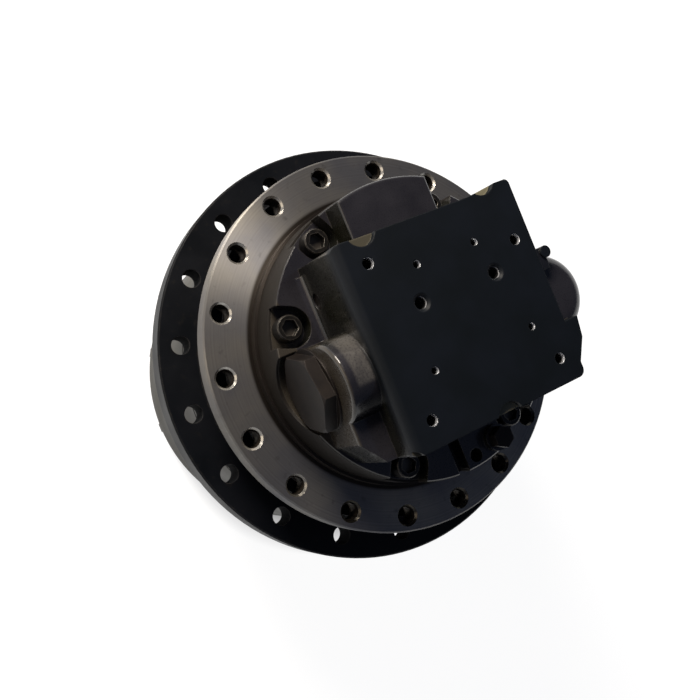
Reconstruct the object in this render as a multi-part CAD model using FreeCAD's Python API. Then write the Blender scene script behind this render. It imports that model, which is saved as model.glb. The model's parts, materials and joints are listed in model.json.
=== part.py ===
"""Excavator final drive: a travel motor inside the spindle of a two-stage planetary gearbox.

Millimetres. The origin is on the drive's axis, in the face that bolts to the track frame.
+Z runs along the axis to the motor end, so the drive stands on its end cover.
The spindle, the motor's cases and the second-stage carrier are fixed to the track frame.
The hub, the ring gear and the end cover turn with the sprocket.
"""
import FreeCAD, Part
import math
import os

V = FreeCAD.Vector
Z_AXIS = V(0, 0, 1)
Y_AXIS = V(0, 1, 0)

# ---- Driving dimensions -------------------------------------------------------------------
# Track-frame flange and pilot, on the spindle; the holes are tapped M20
FRAME_FLANGE_R = 191.0
FRAME_FLANGE_T = 22.0
FRAME_BOLT_CIRCLE_R = 175.0
FRAME_BOLTS = 18
FRAME_BOLT_FIRST_DEG = 1.3
FRAME_TAP_R = 8.75
FRAME_TAP_CHAMFER = 2.0
PILOT_R = 145.0
PILOT_TOP = 10.0
RIM_CHAMFER = 1.5

# Floating seal between the spindle and the hub
SEAL_JOINT = -42.0
SEAL_RING_INNER_R, SEAL_RING_OUTER_R, SEAL_RING_SEAT_R = 153.0, 160.0, 157.0
SEAL_RING_H = 9.0
SEAL_ROOM_R = 163.5
SEAL_CORE_R = 150.0
SKIRT_R = 167.0
SKIRT_END = -34.0

# Sprocket flange and drum, on the hub
HUB_TOP = -26.0
NECK_R = 178.0
NECK_FILLET = 3.0
SPROCKET_FLANGE_R = 220.0
SPROCKET_FACE = -65.0
SPROCKET_FLANGE_T = 28.0
SPROCKET_BOLT_CIRCLE_R = 197.5
SPROCKET_BOLTS = 18
SPROCKET_BOLT_FIRST_DEG = 8.2
SPROCKET_HOLE_R = 9.25
DRUM_R = 186.0
DRUM_PILOT_L = 14.0
DRUM_GROOVE_L, DRUM_GROOVE_DEPTH = 5.0, 2.5
DRUM_CAST_R = 185.5
DRUM_END = -286.0

# End cover
COVER_RIM_T = 16.0
COVER_SPIGOT_FACE = -292.0
COVER_FACE = -314.0
COVER_FACE_INNER_R, COVER_FACE_OUTER_R = 118.0, 156.0
COVER_DISH = 5.0
COVER_BOLTS = 12
COVER_BOLT_CIRCLE_R = 175.5
COVER_BOLT_R = 6.0
COVER_BOLT_HEAD_AF, COVER_BOLT_HEAD_H = 18.0, 9.0
COVER_PLUG_PLACES = [(0, 88), (88, 0), (0, -88)]
COVER_PLUG_R, COVER_PLUG_HEAD_R = 10.0, 15.0

# Main bearings, two taper roller bearings back to back
BEARING_SEAT_R = 106.0
BEARING_BORE_R = 141.0
BEARING_SHOULDER_R = 134.0
BEARING_WIDTH = 30.0
BEARING_UPPER_MID = -77.0
BEARING_LOWER_MID = -113.0
ROLLER_CIRCLE_R = 123.0
ROLLER_R = 8.0
ROLLER_L = 24.0
ROLLERS = 16
CONTACT_DEG = 12.0
NUT_BORE_R, NUT_OUTER_R = 103.0, 120.0

# Gears: one ring gear for both stages, with the same tooth numbers in each
MODULE = 6.0
PRESSURE_DEG = 25.0
ADDENDUM = 0.8 * MODULE
DEDENDUM = 1.0 * MODULE
SUN_TEETH = 12
PLANET_TEETH = 18
RING_TEETH = SUN_TEETH + 2 * PLANET_TEETH
SUN_FIRST_DEG = 180.0 / SUN_TEETH
FLANK_PLAY = 0.5
PLANETS = 3
PLANET_CENTRE_R = MODULE * (SUN_TEETH + PLANET_TEETH) / 2
PLANET_1_FIRST_DEG = 60.0
PLANET_2_FIRST_DEG = 0.0
RING_TOP = -150.0
RING_BOTTOM = -280.0
RING_OUTER_R = 167.0
STAGE_2_TOP, STAGE_2_BOTTOM = -158.0, -208.0
STAGE_1_TOP, STAGE_1_BOTTOM = -228.0, -262.0

# Carriers, their pins, and the splines at the first carrier
CARRIER_1_TOP, CARRIER_1_BOTTOM = -215.0, -226.0
CARRIER_1_R, CARRIER_2_R = 118.0, 122.0
CARRIER_2_BOTTOM = -154.0
CARRIER_2_BORE_R = 44.0
CARRIER_BOLT_R, CARRIER_BOLT_CIRCLE_R, CARRIER_BOLT_LEAN = 6.0, 93.0, 12.0
PIN_1_R, PIN_1_COLLAR_R, NEEDLE_1_R = 18.0, 27.0, 24.0
PIN_2_R, PIN_2_COLLAR_R, NEEDLE_2_R = 20.0, 30.0, 26.0
SPLINE_R, SPLINE_SIDES = 26.0, 16

# Motor inside the spindle
MOTOR_BORE_R = 82.0
MOTOR_FLOOR = -112.0
SPINDLE_END = -141.0
FRONT_BEARING_R, FRONT_BEARING_END = 34.0, -130.0
SHAFT_R = 17.0
SHAFT_JOURNAL_R = 20.0
SHAFT_REAR_R = 15.0
SHAFT_TOP = 38.0
REAR_BEARING_R, REAR_BEARING_TOP = 21.0, 42.0
QUILL_R = 14.0
BLOCK_R = 58.0
BLOCK_TOP, BLOCK_BOTTOM = -5.1, -66.0
PISTONS = 9
PISTON_CIRCLE_R = 38.0
PISTON_R = 8.5
SHOE_BALL_Z = -82.0
SWASH_FACE = -88.0
SWASH_ROLL_R, SWASH_ROLL_Z = 40.0, -70.0
SWASH_DISC_R = 74.0
BRAKE_DISC_T, BRAKE_DISC_STEP = 4.0, 8.6
RUNNING_GAP = 0.05

# Rear cover casting: a thick round flange, the square valve block, and what stands round it
PORT_FACE = 3.0
SPINDLE_RECESS = 2.5
COVER_SPIGOT_R = 112.0
COVER_FLANGE_R = 142.0
COVER_FLANGE_TOP = 60.0
END_FACE = 150.0
BLOCK_LEFT_TOP, BLOCK_LEFT_FOOT = 96.0, 90.0
BLOCK_RIGHT = -91.0
BLOCK_HALF_WIDTH = 92.0
BLOCK_CORNER_R = 7.0
BLOCK_SOFT_EDGE_R = 8.0
BLOCK_ROOT_R = 8.0
BLOCK_EAR = [(80, -91), (92, -91), (94.5, -90), (96, -87.5), (96, -76), (92, -44), (80, -44)]
CAST_EDGE_R = 3.0
TOP_LUG_R, TOP_LUG_TOP = 140.5, 90.0
TOP_LUG_LOW_Y, TOP_LUG_HIGH_Y = -52.0, 43.0

# Its screws, M16, each in a pocket open to the rim
COVER_SCREW_DEGS = [29.0, 68.5, 151.0, 209.0, 291.5, 328.0]
COVER_SCREW_CIRCLE_R = 126.5
COVER_SCREW_R, COVER_SCREW_HOLE_R = 8.0, 8.75
COVER_SCREW_HEAD_R, COVER_SCREW_HEAD_H = 12.0, 16.0
COVER_SCREW_SOCKET = 14.0
COVER_SCREW_SEAT = 42.0
COVER_SCREW_END = -20.0
POCKET_R = 19.0

# Holes and edge notches of the end face, as (x, y)
FACE_TAPS_LARGE = [(69, 70), (43, -74), (-69, -71), (-69, 70)]
FACE_TAP_LARGE_R, FACE_TAP_LARGE_DEPTH = 5.1, 24.0
FACE_TAPS_SMALL = [(54, 28), (54, -33), (-33, -56), (-33, 50)]
FACE_TAP_SMALL_R, FACE_TAP_SMALL_DEPTH = 3.4, 14.0
FACE_PORTS = [(23, 37), (23, -42)]
FACE_PORT_R, FACE_PORT_DEPTH, FACE_PORT_CHAMFER = 5.5, 26.0, 2.5
FACE_NOTCHES = [(97, 66), (103, -62), (-99, 100), (-97, -3)]
FACE_NOTCH_R, FACE_NOTCH_DEPTH = 14.0, 6.0

# Counterbalance spool along Y, in a pedestal on the left and a round tower on the right
SPOOL_X, SPOOL_Z = -13.0, 75.0
SPOOL_BORE_R = 12.5
SPOOL_WAIST_R = 8.0
SPOOL_HALF_L = 70.0
SPOOL_CAVITY_R = 20.0
SPOOL_CAVITY_START = 76.0
SPOOL_PLUG_START = 104.0
PEDESTAL_FACE = 122.0
PEDESTAL_R, PEDESTAL_ARC_Z = 37.0, 102.0
PEDESTAL_PAD_TOP = 113.0
TOWER_X, TOWER_Y, TOWER_R, TOWER_TOP = -15.5, -99.5, 39.0, 137.0
TOWER_EDGE_R = 16.0
NUB_X, NUB_Y, NUB_R, NUB_TOP = 23.0, -103.5, 5.5, 146.0
LOBE_OUTLINE = [(-41, -80), (-41, -106), (-60, -103), (-88, -86), (-88, -60)]
LOBE_BOTTOM = 108.0
TOWER_SPOT_FACE = -133.0
SPOT_FACE_R = 41.0
PLUG_COLLAR_R, PLUG_COLLAR_H = 38.5, 2.0
PLUG_HEX_AF, PLUG_HEX_H = 66.0, 12.0
PLUG_HEX_TURN_DEG = 18.0

# Two-speed selector spool along Y
SPEED_SPOOL_R = 8.0
SPEED_SPOOL_X, SPEED_SPOOL_Z = 58.0, 74.0
SPEED_SPOOL_LOW, SPEED_SPOOL_HIGH = -52.0, 44.0
SPEED_PLUG_START = 78.0
SPEED_PLUG_RECESS = 0.5

# Relief valve in a small boss, and a drain port beside it
RELIEF_X, RELIEF_Y = -124.0, -33.0
RELIEF_BOSS_R, RELIEF_BOSS_TOP = 13.0, 66.0
RELIEF_CAP_AF, RELIEF_CAP_H = 19.0, 11.0
DRAIN_X, DRAIN_Y, DRAIN_R = -131.0, -7.0, 6.5
SIDE_NOTCH_LOW_Y, SIDE_NOTCH_HIGH_Y = 5.0, 17.0


# ---- Shapes used by many pieces -----------------------------------------------------------
def cylinder(radius, low, high, x=0.0, y=0.0):
    """A cylinder along Z between two heights."""
    return Part.makeCylinder(radius, high - low, V(x, y, low))


def bar_y(radius, low, high, x, z):
    """A cylinder along Y between two distances."""
    return Part.makeCylinder(radius, high - low, V(x, low, z), Y_AXIS)


def tube(inner, outer, low, high, x=0.0, y=0.0):
    return cylinder(outer, low, high, x, y).cut(cylinder(inner, low - 1, high + 1, x, y))


def box(low, high):
    """A box from its lowest to its highest corner."""
    size = V(*high) - V(*low)
    return Part.makeBox(size.x, size.y, size.z, V(*low))


def turned(profile):
    """A solid turned about Z from a closed outline of (radius, height) points."""
    points = [V(radius, 0, height) for radius, height in profile]
    face = Part.Face(Part.makePolygon(points + points[:1]))
    return face.revolve(V(0, 0, 0), Z_AXIS, 360)


def prism(points, low, high):
    """A straight prism along Z on a closed outline of (x, y) points."""
    corners = [V(x, y, low) for x, y in points]
    face = Part.Face(Part.makePolygon(corners + corners[:1]))
    return face.extrude(V(0, 0, high - low))


def polygon(sides, radius, first_deg=0.0, x=0.0, y=0.0):
    """Corners of a regular polygon."""
    angles = [math.radians(first_deg + 360.0 * k / sides) for k in range(sides)]
    return [(x + radius * math.cos(a), y + radius * math.sin(a)) for a in angles]


def hexagon(across_flats, first_deg=0.0, x=0.0, y=0.0):
    return polygon(6, across_flats / math.sqrt(3), first_deg, x, y)


def along_y(shape, x, y, z):
    """A shape drawn about Z, laid along +Y with its origin at a point."""
    laid = shape.copy()
    laid.rotate(V(0, 0, 0), V(1, 0, 0), -90)
    laid.translate(V(x, y, z))
    return laid


def turned_by(shape, degrees):
    copy = shape.copy()
    copy.rotate(V(0, 0, 0), Z_AXIS, degrees)
    return copy


def ring_of(shape, count, first_deg=0.0):
    """Copies of a shape spaced evenly about the axis."""
    return [turned_by(shape, first_deg + 360.0 * k / count) for k in range(count)]


def bolt_circle(count, first_deg, radius, tool_radius, low, high):
    """Cylinders on a bolt circle, to cut holes or to stand as shanks."""
    return ring_of(cylinder(tool_radius, low, high, radius), count, first_deg)


def at_cover_screws(shape):
    """Copies of a shape made at angle 0, at each of the rear cover's screws."""
    return [turned_by(shape, degrees) for degrees in COVER_SCREW_DEGS]


def group(solids):
    """Separate solids kept as one node."""
    return Part.makeCompound(solids)


# ---- Gear teeth ---------------------------------------------------------------------------
def involute(angle):
    return math.tan(angle) - angle


def tooth_half_angle(radius, teeth, widening):
    """Half of a tooth's angle at a radius; widening adds to its width on the pitch circle."""
    pitch_r = MODULE * teeth / 2
    base_r = pitch_r * math.cos(math.radians(PRESSURE_DEG))
    pressure = math.acos(min(1.0, base_r / max(radius, base_r)))
    at_pitch = math.pi / (2 * teeth) + widening / (2 * pitch_r)
    return at_pitch + involute(math.radians(PRESSURE_DEG)) - involute(pressure)


def toothed_outline(teeth, root_r, tip_r, first_deg, widening):
    """Outline of a gear with involute flanks in two straight steps; a tooth is centred at first_deg."""
    middle_r = (root_r + tip_r) / 2
    sides = [(r, tooth_half_angle(r, teeth, widening)) for r in (root_r, middle_r, tip_r)]
    flanks = [(r, -half) for r, half in sides] + [(r, half) for r, half in reversed(sides)]
    outline = []
    for k in range(teeth):
        centre = math.radians(first_deg) + 2 * math.pi * k / teeth
        outline += [(r * math.cos(centre + a), r * math.sin(centre + a)) for r, a in flanks]
    return outline


def spur_gear(teeth, low, high, first_deg=0.0):
    pitch_r = MODULE * teeth / 2
    outline = toothed_outline(teeth, pitch_r - DEDENDUM, pitch_r + ADDENDUM, first_deg, -FLANK_PLAY / 2)
    return prism(outline, low, high)


def planet_gear(direction_deg, low, high, bore_r):
    """A planet at its place, turned so that its teeth fit the ring gear's spaces."""
    first_deg = direction_deg * (1 - RING_TEETH / PLANET_TEETH)
    gear = spur_gear(PLANET_TEETH, low, high, first_deg).cut(cylinder(bore_r, low - 1, high + 1))
    angle = math.radians(direction_deg)
    gear.translate(V(PLANET_CENTRE_R * math.cos(angle), PLANET_CENTRE_R * math.sin(angle), 0))
    return gear


def ring_gear():
    pitch_r = MODULE * RING_TEETH / 2
    spaces = toothed_outline(RING_TEETH, pitch_r - ADDENDUM, pitch_r + DEDENDUM, 0.0, FLANK_PLAY / 2)
    blank = cylinder(RING_OUTER_R, RING_BOTTOM, RING_TOP)
    return blank.cut(prism(spaces, RING_BOTTOM - 1, RING_TOP + 1))



# ---- Fixed side: spindle and frame flange -------------------------------------------------
def spindle():
    """Frame flange, pilot, seal skirt, bearing seats and the motor's room, in one casting."""
    flange_back = -FRAME_FLANGE_T
    bearing_top = BEARING_UPPER_MID + BEARING_WIDTH / 2
    bearing_end = BEARING_LOWER_MID - BEARING_WIDTH / 2
    body = turned([
        (MOTOR_BORE_R, SPINDLE_RECESS), (COVER_SPIGOT_R, SPINDLE_RECESS), (COVER_SPIGOT_R, PILOT_TOP),
        (PILOT_R, PILOT_TOP), (PILOT_R, 0), (FRAME_FLANGE_R - RIM_CHAMFER, 0), (FRAME_FLANGE_R, -RIM_CHAMFER),
        (FRAME_FLANGE_R, flange_back), (SKIRT_R, flange_back), (SKIRT_R, SKIRT_END), (SEAL_ROOM_R, SKIRT_END),
        (SEAL_ROOM_R, flange_back), (SEAL_CORE_R, flange_back), (SEAL_CORE_R, -50), (120, bearing_top),
        (BEARING_SEAT_R, bearing_top), (BEARING_SEAT_R, bearing_end), (NUT_BORE_R, bearing_end),
        (NUT_BORE_R, SPINDLE_END), (32, SPINDLE_END), (32, -134), (24, -134), (24, FRONT_BEARING_END),
        (FRONT_BEARING_R, FRONT_BEARING_END), (FRONT_BEARING_R, MOTOR_FLOOR), (MOTOR_BORE_R, MOTOR_FLOOR),
    ])
    tap = cylinder(FRAME_TAP_R, flange_back - 1, 1, FRAME_BOLT_CIRCLE_R)
    mouth = Part.makeCone(FRAME_TAP_R, FRAME_TAP_R + 2 * FRAME_TAP_CHAMFER, 2 * FRAME_TAP_CHAMFER,
                          V(FRAME_BOLT_CIRCLE_R, 0, -FRAME_TAP_CHAMFER))
    frame_taps = ring_of(tap.fuse(mouth), FRAME_BOLTS, FRAME_BOLT_FIRST_DEG)
    cover_tap = cylinder(COVER_SCREW_R, COVER_SCREW_END - 3, PILOT_TOP + 1, COVER_SCREW_CIRCLE_R)
    cover_taps = at_cover_screws(cover_tap)
    carrier_taps = carrier_bolt_shanks(SPINDLE_END + 20)
    return body.cut(frame_taps + cover_taps + carrier_taps)


# ---- Turning side: hub, bearings, seals, end cover ----------------------------------------
def hub():
    """Neck over the floating seal, sprocket flange and drum, bored for the bearings and ring gear.

    A groove after the sprocket's pilot keeps it apart from the rest of the drum.
    """
    flange_back = SPROCKET_FACE - SPROCKET_FLANGE_T
    pilot_end = flange_back - DRUM_PILOT_L
    groove_end = pilot_end - DRUM_GROOVE_L
    groove_r = DRUM_R - DRUM_GROOVE_DEPTH
    upper_low = BEARING_UPPER_MID - BEARING_WIDTH / 2
    lower_high = BEARING_LOWER_MID + BEARING_WIDTH / 2
    neck_bore_r = NECK_R - 9
    body = turned([
        (neck_bore_r, HUB_TOP), (NECK_R, HUB_TOP), (NECK_R, SPROCKET_FACE + NECK_FILLET),
        (NECK_R + NECK_FILLET, SPROCKET_FACE), (SPROCKET_FLANGE_R - RIM_CHAMFER, SPROCKET_FACE),
        (SPROCKET_FLANGE_R, SPROCKET_FACE - RIM_CHAMFER), (SPROCKET_FLANGE_R, flange_back),
        (DRUM_R, flange_back), (DRUM_R, pilot_end), (groove_r, pilot_end), (groove_r, groove_end),
        (DRUM_CAST_R, groove_end), (DRUM_CAST_R, DRUM_END), (RING_OUTER_R, DRUM_END),
        (RING_OUTER_R, RING_TOP), (BEARING_BORE_R, RING_TOP), (BEARING_BORE_R, lower_high),
        (BEARING_SHOULDER_R, lower_high), (BEARING_SHOULDER_R, upper_low), (BEARING_BORE_R, upper_low),
        (BEARING_BORE_R, -60), (SEAL_ROOM_R, -60), (SEAL_ROOM_R, -49), (neck_bore_r, -47),
    ])
    sprocket_holes = bolt_circle(SPROCKET_BOLTS, SPROCKET_BOLT_FIRST_DEG, SPROCKET_BOLT_CIRCLE_R,
                                 SPROCKET_HOLE_R, flange_back - 1, SPROCKET_FACE + 1)
    cover_taps = bolt_circle(COVER_BOLTS, 0, COVER_BOLT_CIRCLE_R, COVER_BOLT_R, DRUM_END - 1, DRUM_END + 24)
    return body.cut(sprocket_holes + cover_taps)


def raceway_r(height, middle, side, offset):
    """Radius at a height of a cone that a taper roller rolls on.

    All the cones of a bearing share one apex on the axis. side is +1 where the raceway opens
    towards +Z, and offset is the roller's half angle, less on the inner race, more on the outer.
    """
    contact = math.radians(CONTACT_DEG)
    to_apex = ROLLER_CIRCLE_R / math.tan(contact)
    return (to_apex + side * (height - middle)) * math.tan(contact + offset)


def roller_half_angle():
    to_apex = ROLLER_CIRCLE_R / math.sin(math.radians(CONTACT_DEG))
    return math.atan(ROLLER_R / to_apex)


def inner_race(middle, side):
    low, high = middle - BEARING_WIDTH / 2, middle + BEARING_WIDTH / 2
    lean = -roller_half_angle()
    return turned([(BEARING_SEAT_R, low), (raceway_r(low, middle, side, lean), low),
                   (raceway_r(high, middle, side, lean), high), (BEARING_SEAT_R, high)])


def outer_race(middle, side):
    low, high = middle - BEARING_WIDTH / 2, middle + BEARING_WIDTH / 2
    lean = roller_half_angle()
    return turned([(BEARING_BORE_R, low), (BEARING_BORE_R, high),
                   (raceway_r(high, middle, side, lean), high), (raceway_r(low, middle, side, lean), low)])


def taper_rollers(middle, side):
    """A row of taper rollers, each leaning to the apex that it shares with its races."""
    contact = math.radians(CONTACT_DEG)
    direction = V(math.sin(contact), 0, side * math.cos(contact))
    centre = V(ROLLER_CIRCLE_R, 0, middle)
    growth = math.tan(roller_half_angle()) * ROLLER_L / 2
    fitted_r = ROLLER_R - RUNNING_GAP
    roller = Part.makeCone(fitted_r - growth, fitted_r + growth, ROLLER_L,
                           centre - direction * (ROLLER_L / 2), direction)
    return group(ring_of(roller, ROLLERS))


def bearing_nut():
    """Slotted nut that sets the main bearings' preload."""
    low = SPINDLE_END + 1
    nut = tube(NUT_BORE_R, NUT_OUTER_R, low, BEARING_LOWER_MID - BEARING_WIDTH / 2)
    slots = ring_of(box((NUT_OUTER_R - 6, -6, low - 1), (NUT_OUTER_R + 1, 6, low + 6)), 4)
    return nut.cut(slots)


def seal_ring(side):
    """One lapped metal ring of the floating seal; side is +1 for the ring above the joint."""
    joint = SEAL_JOINT + side * RUNNING_GAP
    back = joint + side * SEAL_RING_H
    return turned([(SEAL_RING_INNER_R, joint), (SEAL_RING_OUTER_R, joint), (SEAL_RING_SEAT_R, back),
                   (SEAL_RING_INNER_R, back)])


def toric_ring(side):
    """Rubber ring that presses a seal ring against its mate."""
    joint = SEAL_JOINT + side * RUNNING_GAP
    return turned([(SEAL_RING_SEAT_R, joint + side * SEAL_RING_H), (SEAL_RING_OUTER_R, joint),
                   (SEAL_ROOM_R, joint + side * 9.5), (SEAL_RING_OUTER_R - 0.2, joint + side * 15)])


def end_cover():
    """Domed cover: a bolted rim, a spigot that holds the ring gear, and a face to stand on."""
    rim_bottom = DRUM_END - COVER_RIM_T
    dish_floor = COVER_FACE + COVER_DISH
    body = turned([
        (0, COVER_SPIGOT_FACE), (140, COVER_SPIGOT_FACE), (148, RING_BOTTOM), (RING_OUTER_R, RING_BOTTOM),
        (RING_OUTER_R, DRUM_END), (DRUM_CAST_R, DRUM_END), (DRUM_CAST_R, rim_bottom + 2),
        (DRUM_CAST_R - 2, rim_bottom), (COVER_FACE_OUTER_R + 6, rim_bottom), (COVER_FACE_OUTER_R, COVER_FACE),
        (COVER_FACE_INNER_R, COVER_FACE), (COVER_FACE_INNER_R - 6, dish_floor), (0, dish_floor),
    ])
    holes = bolt_circle(COVER_BOLTS, 0, COVER_BOLT_CIRCLE_R, COVER_BOLT_R + 0.5, rim_bottom - 1, DRUM_END + 1)
    hole_end = COVER_SPIGOT_FACE + 2
    plug_holes = [cylinder(COVER_PLUG_R, COVER_FACE, hole_end, x, y) for x, y in COVER_PLUG_PLACES]
    return body.cut(holes + plug_holes)


def cover_plugs():
    """Fill, level and drain plugs with hexagon sockets, below the cover's standing face."""
    dish_floor = COVER_FACE + COVER_DISH
    plugs = []
    for x, y in COVER_PLUG_PLACES:
        shank = cylinder(COVER_PLUG_R, dish_floor, COVER_SPIGOT_FACE - 2, x, y)
        head = cylinder(COVER_PLUG_HEAD_R, COVER_FACE + 0.8, dish_floor, x, y)
        socket = prism(hexagon(10, 0, x, y), COVER_FACE, dish_floor + 5)
        plugs.append(head.fuse(shank).cut(socket).removeSplitter())
    return group(plugs)


def cover_bolts():
    """Hexagon bolts of the end cover, a flat of each head facing the axis."""
    rim_bottom = DRUM_END - COVER_RIM_T
    shank = cylinder(COVER_BOLT_R, rim_bottom, DRUM_END + 20, COVER_BOLT_CIRCLE_R)
    corners = hexagon(COVER_BOLT_HEAD_AF, 30, COVER_BOLT_CIRCLE_R)
    head = prism(corners, rim_bottom - COVER_BOLT_HEAD_H, rim_bottom)
    return group(ring_of(head.fuse(shank), COVER_BOLTS))


def thrust_button():
    """Wear button between the cover and the first sun gear."""
    return cylinder(24, COVER_SPIGOT_FACE, STAGE_1_BOTTOM - 9)


# ---- Planet carriers ----------------------------------------------------------------------
def in_pairs_between_planets(shape):
    """Copies of a shape in pairs, each pair between two second-stage planets."""
    middles = [PLANET_2_FIRST_DEG + 60 + 360.0 * k / PLANETS for k in range(PLANETS)]
    leans = (-CARRIER_BOLT_LEAN, CARRIER_BOLT_LEAN)
    return [turned_by(shape, middle + lean) for middle in middles for lean in leans]


def carrier_bolt_shanks(top):
    """Shanks from the second-stage carrier into the spindle."""
    shank = cylinder(CARRIER_BOLT_R, CARRIER_2_BOTTOM - 1, top, CARRIER_BOLT_CIRCLE_R)
    return in_pairs_between_planets(shank)


def carrier_2():
    """Second-stage carrier plate, bolted to the spindle's end so that it can't turn."""
    low, high = CARRIER_2_BOTTOM - 1, SPINDLE_END + 1
    plate = prism(polygon(12, CARRIER_2_R, 15), CARRIER_2_BOTTOM, SPINDLE_END)
    pin_holes = bolt_circle(PLANETS, PLANET_2_FIRST_DEG, PLANET_CENTRE_R, PIN_2_R, low, high)
    return plate.cut([cylinder(CARRIER_2_BORE_R, low, high)] + pin_holes + carrier_bolt_shanks(high))


def carrier_bolts():
    """Hexagon bolts that hold the second-stage carrier to the spindle."""
    shank = cylinder(CARRIER_BOLT_R, CARRIER_2_BOTTOM, SPINDLE_END + 18, CARRIER_BOLT_CIRCLE_R)
    head = prism(hexagon(18, 0, CARRIER_BOLT_CIRCLE_R), CARRIER_2_BOTTOM - 8, CARRIER_2_BOTTOM)
    return group(in_pairs_between_planets(head.fuse(shank)))


def planet_pins(radius, collar_r, plate_top, gear_bottom, first_deg):
    """Collared pins pressed into a carrier plate."""
    x = PLANET_CENTRE_R
    collar_low = gear_bottom - 4.5
    collar = cylinder(collar_r, collar_low, gear_bottom - 0.5, x)
    pin = cylinder(radius, collar_low, plate_top, x).fuse(collar)
    return group(ring_of(pin, PLANETS, first_deg))


def planet_bearings(inner, outer, low, high, first_deg):
    """Needle bearing sleeves on the planet pins."""
    return group(ring_of(tube(inner, outer, low, high, PLANET_CENTRE_R), PLANETS, first_deg))


def carrier_1():
    """First-stage carrier plate, which carries the second sun gear at its middle."""
    low, high = CARRIER_1_BOTTOM - 1, CARRIER_1_TOP + 1
    plate = prism(polygon(12, CARRIER_1_R, 15), CARRIER_1_BOTTOM, CARRIER_1_TOP)
    pin_holes = bolt_circle(PLANETS, PLANET_1_FIRST_DEG, PLANET_CENTRE_R, PIN_1_R, low, high)
    splines = prism(polygon(SPLINE_SIDES, SPLINE_R), low, high)
    return plate.cut(pin_holes + [splines])


def sun_gear_2():
    """Second-stage sun gear, splined in the first-stage carrier and bored for the quill shaft."""
    teeth_bottom = STAGE_2_BOTTOM - 3
    teeth = spur_gear(SUN_TEETH, teeth_bottom, STAGE_2_TOP + 2, SUN_FIRST_DEG)
    tail = prism(polygon(SPLINE_SIDES, SPLINE_R), CARRIER_1_BOTTOM, teeth_bottom)
    return teeth.fuse(tail).cut(cylinder(QUILL_R + 4, CARRIER_1_BOTTOM - 1, STAGE_2_TOP + 3))


def sun_gear_1():
    """First-stage sun gear in one piece with the quill shaft that joins it to the motor."""
    teeth = spur_gear(SUN_TEETH, STAGE_1_BOTTOM - 2, STAGE_1_TOP, SUN_FIRST_DEG)
    quill = cylinder(QUILL_R, STAGE_1_BOTTOM - 8.7, FRONT_BEARING_END)
    return teeth.fuse(quill)


# ---- Travel motor -------------------------------------------------------------------------
def motor_shaft():
    """Shaft in three steps, hollow at its lower end for the quill."""
    return turned([
        (0, SHAFT_TOP), (SHAFT_REAR_R, SHAFT_TOP), (SHAFT_REAR_R, 2), (SHAFT_R, 2),
        (SHAFT_R, MOTOR_FLOOR + 2), (SHAFT_JOURNAL_R, MOTOR_FLOOR), (SHAFT_JOURNAL_R, -152),
        (QUILL_R, -152), (QUILL_R, -128), (0, -124),
    ])


def cylinder_block():
    """Block with blind piston bores, open towards the swash plate."""
    bore_end = BLOCK_TOP - 14
    bores = bolt_circle(PISTONS, 0, PISTON_CIRCLE_R, PISTON_R, BLOCK_BOTTOM - 1, bore_end)
    ports = bolt_circle(PISTONS, 0, PISTON_CIRCLE_R, 4, bore_end - 1, BLOCK_TOP + 1)
    return tube(SHAFT_R, BLOCK_R, BLOCK_BOTTOM, BLOCK_TOP).cut(bores).cut(ports)


def pistons():
    """Pistons with their ball ends, at half stroke in the block."""
    piston = turned([(0, -36), (PISTON_R, -36), (PISTON_R, -72), (5, -75), (6, -80), (0, SHOE_BALL_Z)])
    piston.translate(V(PISTON_CIRCLE_R, 0, 0))
    return group(ring_of(piston, PISTONS))


def piston_shoes():
    """Shoes that slide on the swash plate."""
    sole = SWASH_FACE + RUNNING_GAP
    shoe = turned([(0, SHOE_BALL_Z), (6, -80), (8, -80), (8, -84), (12, -84), (12, sole), (0, sole)])
    shoe.translate(V(PISTON_CIRCLE_R, 0, 0))
    return group(ring_of(shoe, PISTONS))


def retainer_plate():
    """Plate that keeps the shoes on the swash plate."""
    holes = bolt_circle(PISTONS, 0, PISTON_CIRCLE_R, 8.2, -85, -79)
    return tube(24, 54, -84, -81).cut(holes)


def ball_guide():
    """Spherical guide on the shaft that carries the retainer plate."""
    return turned([(SHAFT_R, -70), (20, -70), (24, -76), (24, -84), (SHAFT_R, -84)])


def swash_cradle():
    """Saddle on the motor's floor for the swash plate's curved back."""
    ring = tube(38, SWASH_DISC_R + 4, MOTOR_FLOOR, -98.5)
    return ring.cut(Part.makeCylinder(SWASH_ROLL_R, 180, V(-90, 0, SWASH_ROLL_Z), V(1, 0, 0)))


def swash_plate():
    """Swash plate at its middle position: a lapped face over two curved saddle pads."""
    disc = cylinder(SWASH_DISC_R, SWASH_FACE - 9, SWASH_FACE)
    roll = Part.makeCylinder(SWASH_ROLL_R - RUNNING_GAP, 140, V(-70, 0, SWASH_ROLL_Z), V(1, 0, 0))
    pads = roll.common(box((-68, -40, -110.5), (68, 40, SWASH_FACE - 8)))
    outside = tube(SWASH_DISC_R, 100, MOTOR_FLOOR, SWASH_FACE + 2)
    return disc.fuse(pads).cut(cylinder(28, MOTOR_FLOOR, SWASH_FACE + 1)).cut(outside)


def brake_plates(inner, outer, first_top, count):
    """Brake discs, one step apart down from the first."""
    tops = [first_top - BRAKE_DISC_STEP * k for k in range(count)]
    return group([tube(inner, outer, top - BRAKE_DISC_T, top) for top in tops])


def brake_piston():
    """Annular piston that the springs press on the brake discs."""
    outer = MOTOR_BORE_R - RUNNING_GAP
    return turned([(62, -37.9), (outer, -37.9), (outer, -14), (66, -14), (62, -18)])


def brake_springs():
    """Springs between the rear cover and the brake piston."""
    return group(bolt_circle(8, 0, 74, 5, -14, PORT_FACE))


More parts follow.
